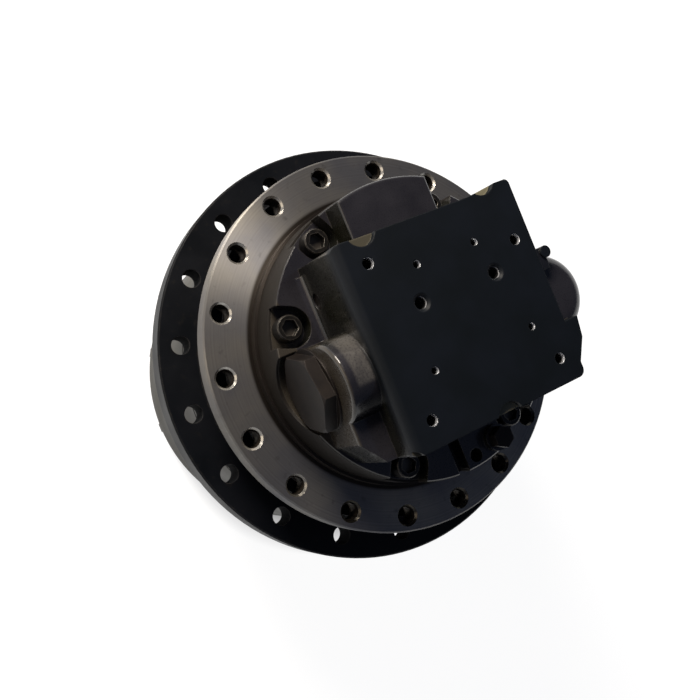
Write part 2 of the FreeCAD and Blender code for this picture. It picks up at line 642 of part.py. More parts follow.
def valve_plate():
    """Port plate between the rear cover and the cylinder block."""
    low = BLOCK_TOP + 0.1
    plate = tube(24, 60, low, PORT_FACE)
    window = box((-50, 12, low - 1), (50, 50, PORT_FACE + 1))
    kidney = tube(33, 43, low - 1, PORT_FACE + 1).common(window)
    return plate.cut([turned_by(kidney, 90), turned_by(kidney, 270)])


# ---- Rear cover casting -------------------------------------------------------------------
def fillet_where(shape, radius, chosen):
    """Round the edges that the test picks."""
    return shape.makeFillet(radius, [edge for edge in shape.Edges if chosen(edge)])


def is_upright(edge):
    return abs(edge.tangentAt(edge.FirstParameter).z) > 0.9


def cover_base():
    """Spigot and thick round flange, its rim chamfered."""
    gap = 0.2
    rim = COVER_FLANGE_R - RIM_CHAMFER
    return turned([
        (0, PORT_FACE), (COVER_SPIGOT_R - gap, PORT_FACE), (COVER_SPIGOT_R - gap, PILOT_TOP),
        (COVER_FLANGE_R, PILOT_TOP), (COVER_FLANGE_R, COVER_FLANGE_TOP - RIM_CHAMFER),
        (rim, COVER_FLANGE_TOP), (0, COVER_FLANGE_TOP),
    ])


def is_left_top_edge(edge):
    """True for the block's edge between its left wall and the end face."""
    centre = edge.CenterOfMass
    return abs(centre.y - BLOCK_LEFT_TOP) < 0.1 and abs(centre.z - END_FACE) < 0.1


def valve_block():
    """The square valve block, its left wall leaning out and softly rounded into the end face."""
    half = BLOCK_HALF_WIDTH
    root = COVER_FLANGE_TOP - 10
    section = [(BLOCK_RIGHT, root), (BLOCK_LEFT_FOOT, root), (BLOCK_LEFT_TOP, END_FACE),
               (BLOCK_RIGHT, END_FACE)]
    corners = [V(-half, y, z) for y, z in section]
    leaning = Part.Face(Part.makePolygon(corners + corners[:1])).extrude(V(2 * half, 0, 0))
    upright = box((-half, BLOCK_RIGHT, root), (half, BLOCK_LEFT_TOP, END_FACE))
    soft = fillet_where(leaning, BLOCK_SOFT_EDGE_R, is_left_top_edge)
    return soft.common(fillet_where(upright, BLOCK_CORNER_R, is_upright))


def block_root():
    """Hollow fillet at the foot of the block's left wall, from the pedestal's side to the corner."""
    near, far = SPOOL_X + PEDESTAL_R - 4, BLOCK_HALF_WIDTH - BLOCK_CORNER_R
    outer, top = BLOCK_LEFT_FOOT + BLOCK_ROOT_R, COVER_FLANGE_TOP + BLOCK_ROOT_R
    strip = box((near, BLOCK_LEFT_FOOT - 4, COVER_FLANGE_TOP - 2), (far, outer, top))
    return strip.cut(Part.makeCylinder(BLOCK_ROOT_R, far - near + 2, V(near - 1, outer, top), V(1, 0, 0)))


def top_lug():
    """Ledge beside the block, its rim round about the drive's axis."""
    slab = box((BLOCK_HALF_WIDTH - 8, TOP_LUG_LOW_Y, PILOT_TOP + 2), (150, TOP_LUG_HIGH_Y, TOP_LUG_TOP))
    lug = slab.common(cylinder(TOP_LUG_R, PILOT_TOP, TOP_LUG_TOP + 1))
    return fillet_where(lug, CAST_EDGE_R, is_lug_rim)


def is_lug_rim(edge):
    centre = edge.CenterOfMass
    return centre.z > TOP_LUG_TOP - 0.1 and centre.x > BLOCK_HALF_WIDTH


def spool_pedestal():
    """Left boss of the spool: an upright wall with a round top, and a lower pad with a slanting corner."""
    left, foot = BLOCK_LEFT_FOOT - 8, COVER_FLANGE_TOP - 10
    side = SPOOL_X + PEDESTAL_R
    column = box((SPOOL_X - PEDESTAL_R, left, foot), (side, PEDESTAL_FACE, PEDESTAL_ARC_Z))
    arch = bar_y(PEDESTAL_R, left, PEDESTAL_FACE, SPOOL_X, PEDESTAL_ARC_Z)
    pad_outline = [(SPOOL_X, left), (SPOOL_X, PEDESTAL_FACE), (-67, PEDESTAL_FACE), (-90, 104), (-91, left)]
    pad = prism(pad_outline, foot, PEDESTAL_PAD_TOP)
    body = column.fuse([arch, pad]).removeSplitter()
    return fillet_where(body, CAST_EDGE_R, is_pedestal_front)


def is_pedestal_front(edge):
    """True for the edges of the pedestal's front face, apart from the one at its foot."""
    centre = edge.CenterOfMass
    return abs(centre.y - PEDESTAL_FACE) < 0.1 and centre.z > COVER_FLANGE_TOP - 9 and not is_upright(edge)


def spool_tower():
    """Right boss of the spool: a round tower with a well-rounded top, joined to the block."""
    foot = COVER_FLANGE_TOP - 10
    tower = cylinder(TOWER_R, foot, TOWER_TOP, TOWER_X, TOWER_Y)
    bridge = box((TOWER_X - TOWER_R, TOWER_Y, foot), (TOWER_X + TOWER_R, BLOCK_RIGHT + 8, TOWER_TOP))
    body = tower.fuse(bridge).removeSplitter()
    return fillet_where(body, TOWER_EDGE_R, is_tower_top)


def shoulder_nub():
    """Small round nub on the tower's shoulder, with its web to the block."""
    nub = cylinder(NUB_R, COVER_FLANGE_TOP, NUB_TOP, NUB_X, NUB_Y)
    web = box((NUB_X - 15, NUB_Y, COVER_FLANGE_TOP), (NUB_X + NUB_R - 0.5, BLOCK_RIGHT + 4, NUB_TOP - 2))
    return nub.fuse(web)


def is_tower_top(edge):
    centre = edge.CenterOfMass
    return centre.z > TOWER_TOP - 0.1 and centre.y < BLOCK_RIGHT


def screw_pocket():
    """One screw's pocket at angle 0: a round seat, open outwards, and the hole below it."""
    x, top = COVER_SCREW_CIRCLE_R, COVER_FLANGE_TOP + 1
    seat = cylinder(POCKET_R, COVER_SCREW_SEAT, top, x)
    mouth = box((x, -POCKET_R, COVER_SCREW_SEAT), (COVER_FLANGE_R + 8, POCKET_R, top))
    return seat.fuse([mouth, cylinder(COVER_SCREW_HOLE_R, PORT_FACE - 1, COVER_SCREW_SEAT + 1, x)])


def end_face_cuts():
    """Taps, ports and the edge notches of the end face."""
    cuts = drilled(FACE_TAPS_LARGE, FACE_TAP_LARGE_R, FACE_TAP_LARGE_DEPTH)
    cuts += drilled(FACE_TAPS_SMALL, FACE_TAP_SMALL_R, FACE_TAP_SMALL_DEPTH)
    cuts += drilled(FACE_NOTCHES, FACE_NOTCH_R, FACE_NOTCH_DEPTH)
    cuts += drilled(FACE_PORTS, FACE_PORT_R, FACE_PORT_DEPTH)
    for x, y in FACE_PORTS:
        cuts.append(Part.makeCone(FACE_PORT_R, FACE_PORT_R + 3, 3, V(x, y, END_FACE - FACE_PORT_CHAMFER)))
    return cuts


def drilled(places, radius, depth):
    """Round cuts of one size in the end face."""
    return [cylinder(radius, END_FACE - depth, END_FACE + 1, x, y) for x, y in places]


def spool_cuts():
    """Bore and end cavities of the counterbalance spool, its two spot faces, and the selector's bore."""
    outside = COVER_FLANGE_R + 8
    bore = bar_y(SPOOL_BORE_R, -SPOOL_CAVITY_START - 1, SPOOL_CAVITY_START + 1, SPOOL_X, SPOOL_Z)
    left = bar_y(SPOOL_CAVITY_R, SPOOL_CAVITY_START, PEDESTAL_FACE + 1, SPOOL_X, SPOOL_Z)
    right = bar_y(SPOOL_CAVITY_R, TOWER_SPOT_FACE - 1, -SPOOL_CAVITY_START, SPOOL_X, SPOOL_Z)
    left_spot = bar_y(SPOT_FACE_R, PEDESTAL_FACE, outside, SPOOL_X, SPOOL_Z)
    right_spot = bar_y(SPOOL_CAVITY_R + 6, -outside, TOWER_SPOT_FACE, SPOOL_X, SPOOL_Z)
    selector_r = SPEED_SPOOL_R + RUNNING_GAP
    selector = bar_y(selector_r, BLOCK_RIGHT - 1, BLOCK_LEFT_TOP + 1, SPEED_SPOOL_X, SPEED_SPOOL_Z)
    return [bore, left, right, left_spot, right_spot, selector]


def rear_cover():
    """Rear cover casting with everything machined in it."""
    relief_boss = cylinder(RELIEF_BOSS_R, COVER_FLANGE_TOP - 5, RELIEF_BOSS_TOP, RELIEF_X, RELIEF_Y)
    lobe = prism(LOBE_OUTLINE, LOBE_BOTTOM, END_FACE)
    ear = prism(BLOCK_EAR, COVER_FLANGE_TOP - 10, END_FACE)
    bosses = [top_lug(), spool_pedestal(), spool_tower(), shoulder_nub(), relief_boss, lobe]
    body = cover_base().fuse([valve_block(), block_root(), ear] + bosses)
    side_notch = box((-COVER_FLANGE_R - 8, SIDE_NOTCH_LOW_Y, COVER_SCREW_SEAT),
                     (-BLOCK_HALF_WIDTH - 16, SIDE_NOTCH_HIGH_Y, COVER_FLANGE_TOP + 1))
    drain = cylinder(DRAIN_R, COVER_SCREW_SEAT, COVER_FLANGE_TOP + 1, DRAIN_X, DRAIN_Y)
    shaft_room = cylinder(REAR_BEARING_R, PORT_FACE - 1, REAR_BEARING_TOP)
    cuts = at_cover_screws(screw_pocket()) + end_face_cuts() + spool_cuts() + [side_notch, drain, shaft_room]
    return body.removeSplitter().cut(cuts)


def cover_screws():
    """Socket screws that hold the rear cover to the spindle."""
    x, seat = COVER_SCREW_CIRCLE_R, COVER_SCREW_SEAT
    top = seat + COVER_SCREW_HEAD_H
    head = cylinder(COVER_SCREW_HEAD_R, seat, top - 1, x)
    crown = Part.makeCone(COVER_SCREW_HEAD_R, COVER_SCREW_HEAD_R - 1, 1, V(x, 0, top - 1))
    shank = cylinder(COVER_SCREW_R, COVER_SCREW_END, seat, x)
    socket = prism(hexagon(COVER_SCREW_SOCKET, 0, x), top - COVER_SCREW_HEAD_H / 2, top + 1)
    return group(at_cover_screws(head.fuse([crown, shank]).cut(socket).removeSplitter()))


# ---- Valves in the rear cover -------------------------------------------------------------
def counterbalance_spool():
    """Spool with three lands, along Y."""
    land, waist, end = SPOOL_BORE_R - RUNNING_GAP, SPOOL_WAIST_R, SPOOL_HALF_L
    profile = [(0, -end), (land, -end), (land, -44), (waist, -44), (waist, -16), (land, -16),
               (land, 16), (waist, 16), (waist, 44), (land, 44), (land, end), (0, end)]
    return along_y(turned(profile), SPOOL_X, 0, SPOOL_Z)


def spool_spring(side):
    """Centring spring between the spool's end and its plug."""
    start, end = SPOOL_HALF_L, SPOOL_PLUG_START
    low, high = (start, end) if side > 0 else (-end, -start)
    return bar_y(11, low, high, SPOOL_X, SPOOL_Z).cut(bar_y(8, low - 1, high + 1, SPOOL_X, SPOOL_Z))


def spool_plug_left():
    """Large hexagon plug on a round collar, its corners chamfered."""
    head_low = PEDESTAL_FACE + PLUG_COLLAR_H
    head_high = head_low + PLUG_HEX_H
    corner_r = PLUG_HEX_AF / math.sqrt(3)
    trim = cylinder(corner_r, head_low - 1, head_high - 2)
    trim = trim.fuse(Part.makeCone(corner_r, corner_r - 3, 2, V(0, 0, head_high - 2)))
    head = prism(hexagon(PLUG_HEX_AF, PLUG_HEX_TURN_DEG), head_low, head_high).common(trim)
    collar = cylinder(PLUG_COLLAR_R, PEDESTAL_FACE, head_low)
    shank = cylinder(SPOOL_CAVITY_R, SPOOL_PLUG_START, PEDESTAL_FACE)
    return along_y(head.fuse([collar, shank]), SPOOL_X, 0, SPOOL_Z)


def spool_plug_right():
    """Flush plug with a hexagon socket at the spool's other end."""
    end = -TOWER_SPOT_FACE - 2
    body = cylinder(SPOOL_CAVITY_R, SPOOL_PLUG_START, end).cut(prism(hexagon(17), end - 12, end + 1))
    plug = along_y(body, 0, 0, 0)
    plug.rotate(V(0, 0, 0), Z_AXIS, 180)
    plug.translate(V(SPOOL_X, 0, SPOOL_Z))
    return plug


def speed_spool():
    """Two-speed selector spool."""
    land, low, high = SPEED_SPOOL_R, SPEED_SPOOL_LOW, SPEED_SPOOL_HIGH
    profile = [(0, low), (land, low), (land, -20), (5, -20), (5, 12), (land, 12), (land, high), (0, high)]
    return along_y(turned(profile), SPEED_SPOOL_X, 0, SPEED_SPOOL_Z)


def speed_spring():
    return bar_y(6, SPEED_SPOOL_HIGH, SPEED_PLUG_START, SPEED_SPOOL_X, SPEED_SPOOL_Z)


def speed_plugs():
    """Plugs that close the selector spool's bore."""
    radius = SPEED_SPOOL_R + RUNNING_GAP
    left_end, right_end = BLOCK_LEFT_FOOT - SPEED_PLUG_RECESS, BLOCK_RIGHT + SPEED_PLUG_RECESS
    return group([bar_y(radius, SPEED_PLUG_START, left_end, SPEED_SPOOL_X, SPEED_SPOOL_Z),
                  bar_y(radius, right_end, -SPEED_PLUG_START, SPEED_SPOOL_X, SPEED_SPOOL_Z)])


def relief_valve():
    """Cartridge relief valve standing in its boss: the hexagon cap that shows."""
    corners = hexagon(RELIEF_CAP_AF, 0, RELIEF_X, RELIEF_Y)
    return prism(corners, RELIEF_BOSS_TOP, RELIEF_BOSS_TOP + RELIEF_CAP_H)


# ---- All nodes ----------------------------------------------------------------------------
def all_nodes():
    nodes = {
        "spindle": spindle(),
        "rear_cover": rear_cover(),
        "rear_cover_screws": cover_screws(),
        "valve_plate": valve_plate(),
        "swash_plate": swash_plate(),
        "swash_cradle": swash_cradle(),
        "shaft_bearing_front": tube(SHAFT_JOURNAL_R + RUNNING_GAP, FRONT_BEARING_R,
                                    FRONT_BEARING_END, MOTOR_FLOOR),
        "shaft_bearing_rear": tube(SHAFT_REAR_R + RUNNING_GAP, REAR_BEARING_R,
                                   PORT_FACE, REAR_BEARING_TOP),
        "shaft_seal": tube(SHAFT_JOURNAL_R + RUNNING_GAP, 32, -140, -134),
        "brake_separator_plates": brake_plates(66, MOTOR_BORE_R, -38, 3),
        "brake_friction_plates": brake_plates(BLOCK_R, 78, -42.3, 2),
        "brake_piston": brake_piston(),
        "brake_springs": brake_springs(),
        "motor_shaft": motor_shaft(),
        "cylinder_block": cylinder_block(),
        "pistons": pistons(),
        "piston_shoes": piston_shoes(),
        "retainer_plate": retainer_plate(),
        "ball_guide": ball_guide(),
        "counterbalance_spool": counterbalance_spool(),
        "spool_spring_left": spool_spring(1),
        "spool_spring_right": spool_spring(-1),
        "spool_plug_left": spool_plug_left(),
        "spool_plug_right": spool_plug_right(),
        "speed_spool": speed_spool(),
        "speed_spring": speed_spring(),
        "speed_spool_plugs": speed_plugs(),
        "relief_valve": relief_valve(),
        "hub": hub(),
        "ring_gear": ring_gear(),
        "end_cover": end_cover(),
        "end_cover_bolts": cover_bolts(),
        "cover_plugs": cover_plugs(),
        "thrust_button": thrust_button(),
        "bearing_inner_upper": inner_race(BEARING_UPPER_MID, 1),
        "bearing_outer_upper": outer_race(BEARING_UPPER_MID, 1),
        "bearing_rollers_upper": taper_rollers(BEARING_UPPER_MID, 1),
        "bearing_inner_lower": inner_race(BEARING_LOWER_MID, -1),
        "bearing_outer_lower": outer_race(BEARING_LOWER_MID, -1),
        "bearing_rollers_lower": taper_rollers(BEARING_LOWER_MID, -1),
        "bearing_nut": bearing_nut(),
        "seal_ring_fixed": seal_ring(1),
        "seal_ring_turning": seal_ring(-1),
        "toric_ring_fixed": toric_ring(1),
        "toric_ring_turning": toric_ring(-1),
        "carrier_2": carrier_2(),
        "carrier_2_bolts": carrier_bolts(),
        "planet_pins_2": planet_pins(PIN_2_R, PIN_2_COLLAR_R, SPINDLE_END - 0.3, STAGE_2_BOTTOM,
                                       PLANET_2_FIRST_DEG),
        "planet_bearings_2": planet_bearings(PIN_2_R, NEEDLE_2_R, STAGE_2_BOTTOM, STAGE_2_TOP,
                                             PLANET_2_FIRST_DEG),
        "sun_gear_2": sun_gear_2(),
        "carrier_1": carrier_1(),
        "planet_pins_1": planet_pins(PIN_1_R, PIN_1_COLLAR_R, CARRIER_1_TOP, STAGE_1_BOTTOM,
                                     PLANET_1_FIRST_DEG),
        "planet_bearings_1": planet_bearings(PIN_1_R, NEEDLE_1_R, STAGE_1_BOTTOM, STAGE_1_TOP,
                                             PLANET_1_FIRST_DEG),
        "sun_gear_1": sun_gear_1(),
    }
    for k, letter in enumerate("abc"):
        turn = 360.0 * k / PLANETS
        nodes["planet_gear_1" + letter] = planet_gear(
            PLANET_1_FIRST_DEG + turn, STAGE_1_BOTTOM, STAGE_1_TOP, NEEDLE_1_R + RUNNING_GAP)
        nodes["planet_gear_2" + letter] = planet_gear(
            PLANET_2_FIRST_DEG + turn, STAGE_2_BOTTOM, STAGE_2_TOP, NEEDLE_2_R + RUNNING_GAP)
    return nodes


os.makedirs("parts", exist_ok=True)
for name, shape in all_nodes().items():
    shape.exportStep("parts/" + name + ".step")
    print(name, shape.ShapeType, len(shape.Solids), round(shape.Volume), shape.isValid())
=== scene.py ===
"""Looks of the excavator final drive: finishes, threads and studio around the CAD frame.

Metres, in the CAD frame: the origin in the frame flange's face, +Z along the axis to the motor end,
so the drive stands on its end cover and the valve block's end face looks up.
"""
import bpy
import json
import math
import numpy as np
from mathutils import Matrix, Vector

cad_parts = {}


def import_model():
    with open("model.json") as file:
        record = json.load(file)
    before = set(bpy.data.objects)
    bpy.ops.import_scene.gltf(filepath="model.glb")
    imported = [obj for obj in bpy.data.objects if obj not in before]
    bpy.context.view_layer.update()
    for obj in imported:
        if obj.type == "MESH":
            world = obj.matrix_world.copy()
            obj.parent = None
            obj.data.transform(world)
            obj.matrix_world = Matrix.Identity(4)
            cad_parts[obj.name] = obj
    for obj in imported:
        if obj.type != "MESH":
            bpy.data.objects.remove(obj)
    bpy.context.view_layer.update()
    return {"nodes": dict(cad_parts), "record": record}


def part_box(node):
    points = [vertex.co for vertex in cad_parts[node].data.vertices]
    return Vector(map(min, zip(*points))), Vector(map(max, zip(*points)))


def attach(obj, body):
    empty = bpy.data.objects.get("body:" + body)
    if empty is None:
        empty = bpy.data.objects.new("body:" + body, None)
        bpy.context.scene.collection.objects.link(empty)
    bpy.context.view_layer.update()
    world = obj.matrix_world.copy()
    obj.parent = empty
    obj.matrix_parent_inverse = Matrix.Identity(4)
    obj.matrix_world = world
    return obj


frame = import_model()
NODES = frame["nodes"]
MM = 0.001

# ---- Places on the part, in metres ---------------------------------------------------------
MOUNTS = {mount["name"]: mount for mount in frame["record"]["mounts"]}
FRAME_HOLES = MOUNTS["frame_bolts"]["dims"]
FRAME_HOLE_RING_R = FRAME_HOLES["pcd_mm"] / 2 * MM
FRAME_HOLE_FIRST_DEG = 1.3
FRAME_PILOT_R = MOUNTS["frame_pilot"]["dims"]["r_mm"] * MM
HUB_DRUM_R = MOUNTS["sprocket_pilot"]["dims"]["r_mm"] * MM
HUB_FLANGE_R = 0.220
HUB_FLANGE_FRONT_Z = -0.065
HUB_FLANGE_BACK_Z = MOUNTS["sprocket_face"]["pos_m"][2]
COVER_FLANGE_R = 0.142
COVER_FLANGE_TOP_Z = 0.060
END_FACE_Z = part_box("rear_cover")[1].z
NOTCH_FLOOR_Z = END_FACE_Z - 0.006
BLOCK_RIGHT_Y, BLOCK_LEFT_Y = -0.091, 0.096
PEDESTAL_FACE_Y = 0.122
SOCKET_FLOOR_Z = 0.050


# ---- Nodes and colours ---------------------------------------------------------------------
def linear(hex_colour):
    """Linear colour of an sRGB hex colour."""
    channels = [int(hex_colour[i:i + 2], 16) / 255 for i in (1, 3, 5)]
    return [c / 12.92 if c <= 0.04045 else ((c + 0.055) / 1.055) ** 2.4 for c in channels] + [1.0]


def add(tree, kind, inputs=(), **settings):
    """Adds a node with its settings, and fills its sockets with values or links."""
    node = tree.nodes.new(kind)
    for name, value in settings.items():
        setattr(node, name, value)
    for socket, value in dict(inputs).items():
        if isinstance(value, bpy.types.NodeSocket):
            tree.links.new(value, node.inputs[socket])
        else:
            node.inputs[socket].default_value = value
    return node


def new_tree(name):
    """An empty material with its object coordinates."""
    material = bpy.data.materials.new(name)
    material.use_nodes = True
    material.node_tree.nodes.clear()
    tree = material.node_tree
    return material, tree, add(tree, "ShaderNodeTexCoord").outputs["Object"]


def noise(tree, where, size_mm, detail=3.0, stretch=(1, 1, 1)):
    """Noise between 0 and 1 whose blotches are about size_mm across."""
    placed = add(tree, "ShaderNodeMapping", {"Vector": where, "Scale": stretch})
    return add(tree, "ShaderNodeTexNoise", {
        "Vector": placed.outputs["Vector"], "Scale": 1 / (size_mm * MM), "Detail": detail}).outputs["Fac"]


def ramp(tree, value, low, high, start=0.0, end=1.0):
    """Turns a value's range from low to high into one from start to end, and clamps it there."""
    return add(tree, "ShaderNodeMapRange", {
        "Value": value, "From Min": low, "From Max": high, "To Min": start, "To Max": end}).outputs["Result"]


def blend_colours(tree, share, first, second):
    """Mixes two colours, or colour sockets, by a share."""
    return add(tree, "ShaderNodeMix", {0: share, 6: first, 7: second}, data_type="RGBA").outputs[2]


def combine(tree, operation, first, second):
    """The result of one operation on two values, or value sockets."""
    return add(tree, "ShaderNodeMath", {0: first, 1: second}, operation=operation).outputs[0]


def edge_mask(tree, radius_mm, low=0.02, high=0.25):
    """1 along sharp edges and 0 on flats, from how far a rounded normal leans from the true one."""
    rounded = add(tree, "ShaderNodeBevel", {"Radius": radius_mm * MM}, samples=4).outputs["Normal"]
    true = add(tree, "ShaderNodeNewGeometry").outputs["Normal"]
    lean = add(tree, "ShaderNodeVectorMath", {0: rounded, 1: true}, operation="DOT_PRODUCT").outputs["Value"]
    return ramp(tree, lean, 1 - low, 1 - high)


def soft_edges(tree, radius_mm):
    """Normals that round every sharp edge by a small radius, as a deburred edge is."""
    return add(tree, "ShaderNodeBevel", {"Radius": radius_mm * MM}, samples=4).outputs["Normal"]


def bump(tree, height, depth_mm, normal):
    """A normal tilted by the slopes of a height that spans depth_mm."""
    return add(tree, "ShaderNodeBump", {
        "Height": height, "Distance": depth_mm * MM, "Normal": normal}).outputs["Normal"]


def band(tree, value, low, high, soft):
    """1 where a value lies between two limits, falling to 0 within a soft step at each."""
    above = ramp(tree, value, low - soft, low)
    below = ramp(tree, value, high + soft, high)
    return combine(tree, "MULTIPLY", above, below)


def overlap(tree, *masks):
    """The product of masks: 1 only where every one of them is 1."""
    shared = masks[0]
    for mask in masks[1:]:
        shared = combine(tree, "MULTIPLY", shared, mask)
    return shared


def cylinder_coordinates(tree, here):
    """Radius about the drive's axis and height along it, in metres."""
    parts = add(tree, "ShaderNodeSeparateXYZ", {"Vector": here}).outputs
    flat = add(tree, "ShaderNodeCombineXYZ", {"X": parts["X"], "Y": parts["Y"]}).outputs[0]
    return add(tree, "ShaderNodeVectorMath", {0: flat}, operation="LENGTH").outputs["Value"], parts["Z"]


def facing_up(tree):
    """How far the true surface faces the motor end: 1 flat, 0 upright."""
    normal = add(tree, "ShaderNodeNewGeometry").outputs["True Normal"]
    return add(tree, "ShaderNodeSeparateXYZ", {"Vector": normal}).outputs["Z"]


def shade(material, tree, **sockets):
    """Ends a material's tree in a Principled shader whose sockets are given by name."""
    named = {name.replace("_", " ").title().replace("Ior", "IOR"): value for name, value in sockets.items()}
    shader = add(tree, "ShaderNodeBsdfPrincipled", named)
    add(tree, "ShaderNodeOutputMaterial", {"Surface": shader.outputs["BSDF"]})
    return material


# ---- Finishes ------------------------------------------------------------------------------
def turned_flange_iron():
    """Ductile iron faced on a lathe and oiled: taupe grey, its tool marks ring the axis.

    The marks make the light fan out in radial streaks, oil darkens it in blotches, and old oil
    has dried dark brown in the corner at the pilot's foot. The chamfers on the low side are
    darkened as painted shade.
    """
    material, tree, here = new_tree("turned_flange_iron")
    radius, height = cylinder_coordinates(tree, here)
    # 0.25 mm feed marks are too fine to show, so the rings are drawn about 1.5 mm apart
    rings = add(tree, "ShaderNodeTexNoise", {
        "W": radius, "Scale": 1 / (1.5 * MM), "Detail": 2.0}, noise_dimensions="1D").outputs["Fac"]
    blotches = noise(tree, here, 60)
    grime = noise(tree, here, 9, 5)
    tone = blend_colours(tree, ramp(tree, blotches, 0.35, 0.65), linear("#827f79"), linear("#6c6c6f"))
    tone = blend_colours(tree, ramp(tree, rings, 0.3, 0.7, 0, 0.25), tone, linear("#4c4948"))
    tone = blend_colours(tree, ramp(tree, grime, 0.62, 0.8, 0, 0.5), tone, linear("#2c2927"))
    tone = blend_colours(tree, edge_mask(tree, 1.0), tone, linear("#74726b"))
    # each tapped hole's 45 degree chamfer was cut after the facing and is bright; towards the low side it is
    # darkened as painted shade
    chamfer = overlap(tree, band(tree, facing_up(tree), 0.6, 0.8, 0.05),
                      band(tree, radius, FRAME_HOLE_RING_R - 0.011, FRAME_HOLE_RING_R + 0.011, 0.0005))
    along_x = add(tree, "ShaderNodeSeparateXYZ", {"Vector": here}).outputs["X"]
    low_side_shade = ramp(tree, along_x, -0.060, -0.115)
    cut = blend_colours(tree, low_side_shade, linear("#a3a09a"), linear("#38352f"))
    tone = blend_colours(tree, chamfer, tone, cut)
    pilot = ramp(tree, radius, FRAME_PILOT_R + 0.0012, FRAME_PILOT_R)
    tone = blend_colours(tree, pilot, tone, linear("#2f2a26"))
    oil = overlap(tree, band(tree, radius, FRAME_PILOT_R - 0.0002, FRAME_PILOT_R + 0.0028, 0.0030),
                  ramp(tree, height, 0.0035, 0.0005))
    tone = blend_colours(tree, oil, tone, linear("#29241f"))
    roughness = ramp(tree, combine(tree, "ADD", blotches, rings), 0.7, 1.3, 0.42, 0.54)
    roughness = combine(tree, "SUBTRACT", roughness, ramp(tree, chamfer, 0, 1, 0, 0.24))
    normal = bump(tree, rings, 0.02, soft_edges(tree, 0.6))
    # a quarter turn would draw the gloss out straight across the rings; 0.24 leans the fan of light a little
    tangent = add(tree, "ShaderNodeTangent", direction_type="RADIAL", axis="Z").outputs["Tangent"]
    return shade(material, tree, base_color=tone, metallic=0.75, roughness=roughness, anisotropic=0.85,
                 anisotropic_rotation=0.24, tangent=tangent, normal=normal)


def phosphated_hub_iron():
    """Hub casting, its flange machined and phosphated near-black blue, its drum under dry olive primer."""
    material, tree, here = new_tree("phosphated_hub_iron")
    radius, height = cylinder_coordinates(tree, here)
    blotches = noise(tree, here, 45)
    grit = noise(tree, here, 2.5, 4)
    dust = noise(tree, here, 7, 5)
    face = blend_colours(tree, ramp(tree, blotches, 0.3, 0.7), linear("#06080c"), linear("#0b0d12"))
    face = blend_colours(tree, ramp(tree, dust, 0.6, 0.8, 0, 0.6), face, linear("#1d1b19"))
    drum = blend_colours(tree, ramp(tree, blotches, 0.35, 0.65), linear("#36352f"), linear("#403f38"))
    drum = blend_colours(tree, ramp(tree, dust, 0.58, 0.75, 0, 0.5), drum, linear("#33322d"))
    # the primer stops at the machined flange, so the flange's back and its bolt holes stay dark
    below = overlap(tree, ramp(tree, height, HUB_FLANGE_BACK_Z + 0.0005, HUB_FLANGE_BACK_Z - 0.0002),
                    ramp(tree, radius, HUB_DRUM_R + 0.0025, HUB_DRUM_R + 0.0015))
    tone = blend_colours(tree, below, face, drum)
    worn = overlap(tree, edge_mask(tree, 1.2), ramp(tree, dust, 0.35, 0.65))
    tone = blend_colours(tree, worn, tone, linear("#3d3a37"))
    # the drilled walls of the bolt holes are rough and take no gloss
    drilled = overlap(tree, band(tree, radius, HUB_DRUM_R + 0.001, HUB_FLANGE_R - 0.004, 0.0005),
                      ramp(tree, facing_up(tree), 0.5, 0.3),
                      band(tree, height, HUB_FLANGE_BACK_Z - 0.003, HUB_FLANGE_FRONT_Z - 0.0005, 0.0003))
    gloss = ramp(tree, blotches, 0.3, 0.7, 0.42, 0.55)
    roughness = combine(tree, "MAXIMUM", gloss, ramp(tree, drilled, 0, 1, 0, 1.0))
    normal = bump(tree, grit, 0.03, soft_edges(tree, 0.8))
    return shade(material, tree, base_color=tone, metallic=0.0, roughness=roughness,
                 specular_ior_level=0.12, normal=normal)


def milled_face_and_wall_shade(tree, parts):
    """1 on the milled end face and, fading, down the top of the block's walls: there the face's dark satin
    tone is painted shade over their soft top edge.
    """
    wall_top_shade = overlap(tree, ramp(tree, parts["Z"], END_FACE_Z - 0.024, END_FACE_Z - 0.010),
                      ramp(tree, parts["Y"], BLOCK_LEFT_Y + 0.0025, BLOCK_LEFT_Y + 0.0005),
                      ramp(tree, parts["Y"], BLOCK_RIGHT_Y - 0.0005, BLOCK_RIGHT_Y + 0.0005))
    face = ramp(tree, parts["Z"], END_FACE_Z - 0.0095, END_FACE_Z - 0.004)
    return combine(tree, "MAXIMUM", wall_top_shade, face)


def edge_notch_floors(tree, parts, up):
    """1 on the flat floors of the half-round cuts in the end face's edge."""
    return overlap(tree, band(tree, parts["Z"], NOTCH_FLOOR_Z - 0.0005, NOTCH_FLOOR_Z + 0.0005, 0.0003),
                   band(tree, parts["Y"], BLOCK_RIGHT_Y + 0.0005, BLOCK_LEFT_Y + 0.001, 0.0003),
                   ramp(tree, up, 0.9, 0.95))


def bare_hole_walls(tree, parts, up):
    """1 on the upright walls of the end face's holes, which were cut after painting.

    The limits in X and Y hold every hole and stay clear of the block's own walls.
    """
    return overlap(tree, band(tree, parts["X"], -0.080, 0.080, 0.0005),
                   band(tree, parts["Y"], -0.082, 0.080, 0.0005),
                   ramp(tree, parts["Z"], END_FACE_Z - 0.030, END_FACE_Z - 0.029),
                   ramp(tree, up, 0.5, 0.4))


def crest_wear_and_highlight(tree, parts, texture):
    """How far the enamel on the arched crest of the spool's pedestal, behind its face, is lightened: partly
    rubbed enamel, partly a painted highlight.
    """
    return overlap(tree, band(tree, parts["Y"], BLOCK_LEFT_Y, PEDESTAL_FACE_Y - 0.010, 0.003),
                   band(tree, parts["X"], -0.018, 0.030, 0.004),
                   ramp(tree, parts["Z"], 0.106, 0.116),
                   ramp(tree, texture, 0.7, 1.3, 0.3, 0.9))


